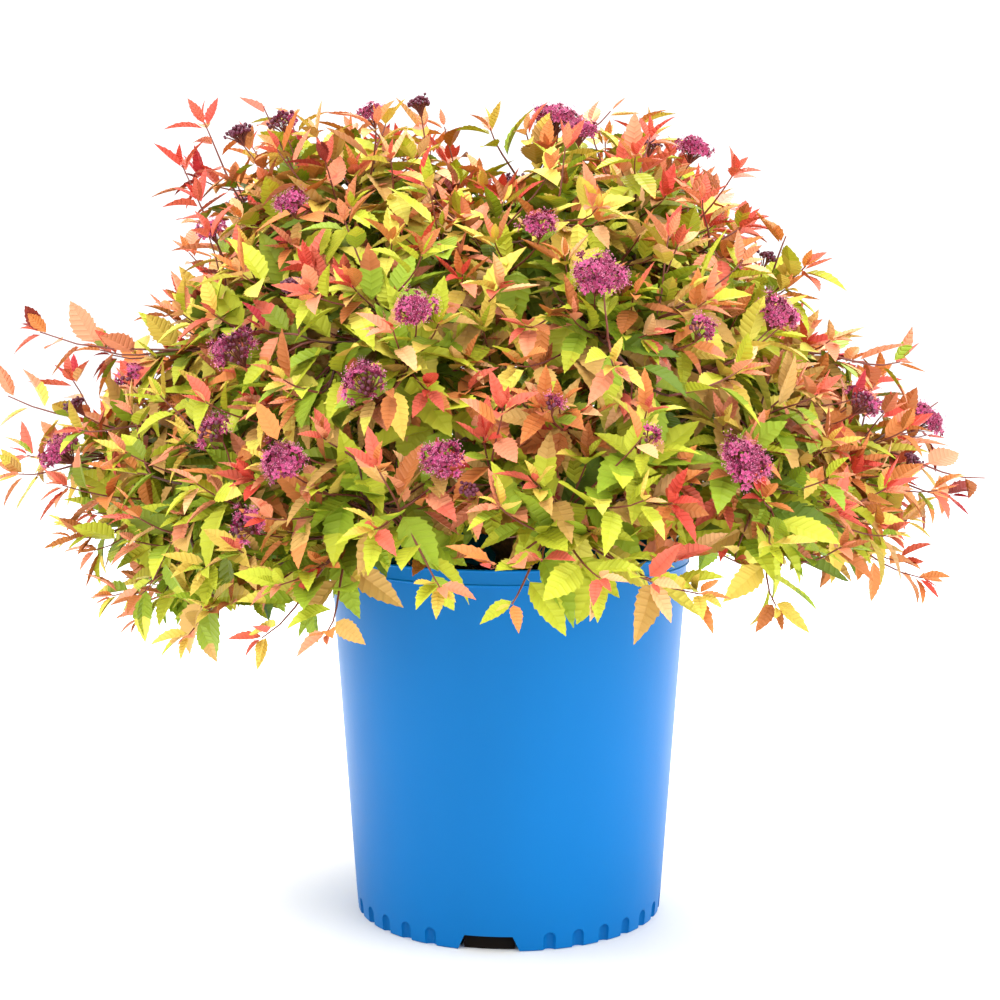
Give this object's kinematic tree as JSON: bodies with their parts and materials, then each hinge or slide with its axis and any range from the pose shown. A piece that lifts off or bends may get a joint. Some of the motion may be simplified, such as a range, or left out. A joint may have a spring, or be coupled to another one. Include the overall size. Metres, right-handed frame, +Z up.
{
  "type": "spirea shrub in a nursery pot",
  "caption": "Compact flowering spirea shrub with a domed crown of yellow, orange and red leaves and pink flower heads, standing in a round blue tapered nursery pot.",
  "frame": {"origin": "centre of the flat pad in the middle of the pot's underside, on the pot's axis, at the surface the pot stands on", "axes": "+Z up along the pot's axis; the front, as pictured, faces -Y, and +X is to the right of the front"},
  "size_m": [0.6116, 0.5481, 0.5092],
  "materials": {
    "pot_blue": "satin",
    "mix_brown": "matte",
    "bark_brown": "matte",
    "crown_green": "matte",
    "crown_orange": "matte",
    "crown_red": "matte",
    "crown_yellow": "matte"
  },
  "bodies": {
    "root": {"pot": "pot_blue", "potting_mix": "mix_brown", "stem": "bark_brown", "bough_01": "bark_brown", "bough_02": "bark_brown", "bough_03": "bark_brown", "bough_04": "bark_brown", "bough_05": "bark_brown", "bough_06": "bark_brown", "bough_07": "bark_brown", "bough_08": "bark_brown", "bough_09": "bark_brown", "bough_10": "bark_brown", "bough_11": "bark_brown", "bough_12": "bark_brown", "bough_13": "bark_brown", "bough_14": "bark_brown", "bough_15": "bark_brown", "bough_16": "bark_brown", "bough_17": "bark_brown", "bough_18": "bark_brown", "bough_19": "bark_brown", "bough_20": "bark_brown", "bough_21": "bark_brown", "bough_22": "bark_brown", "bough_23": "bark_brown", "bough_24": "bark_brown", "bough_25": "bark_brown", "bough_26": "bark_brown", "foliage_01": "crown_red", "foliage_02": "crown_red", "foliage_03": "crown_orange", "foliage_04": "crown_red", "foliage_05": "crown_red", "foliage_06": "crown_orange", "foliage_07": "crown_red", "foliage_08": "crown_orange", "foliage_09": "crown_orange", "foliage_10": "crown_orange", "foliage_11": "crown_yellow", "foliage_12": "crown_orange", "foliage_13": "crown_yellow", "foliage_14": "crown_yellow", "foliage_15": "crown_yellow", "foliage_16": "crown_yellow", "foliage_17": "crown_green", "foliage_18": "crown_green", "foliage_19": "crown_green", "foliage_20": "crown_yellow", "foliage_21": "crown_yellow", "foliage_22": "crown_yellow", "foliage_23": "crown_yellow", "foliage_24": "crown_green", "foliage_25": "crown_yellow", "foliage_26": "crown_yellow"}
  },
  "joints": []
}
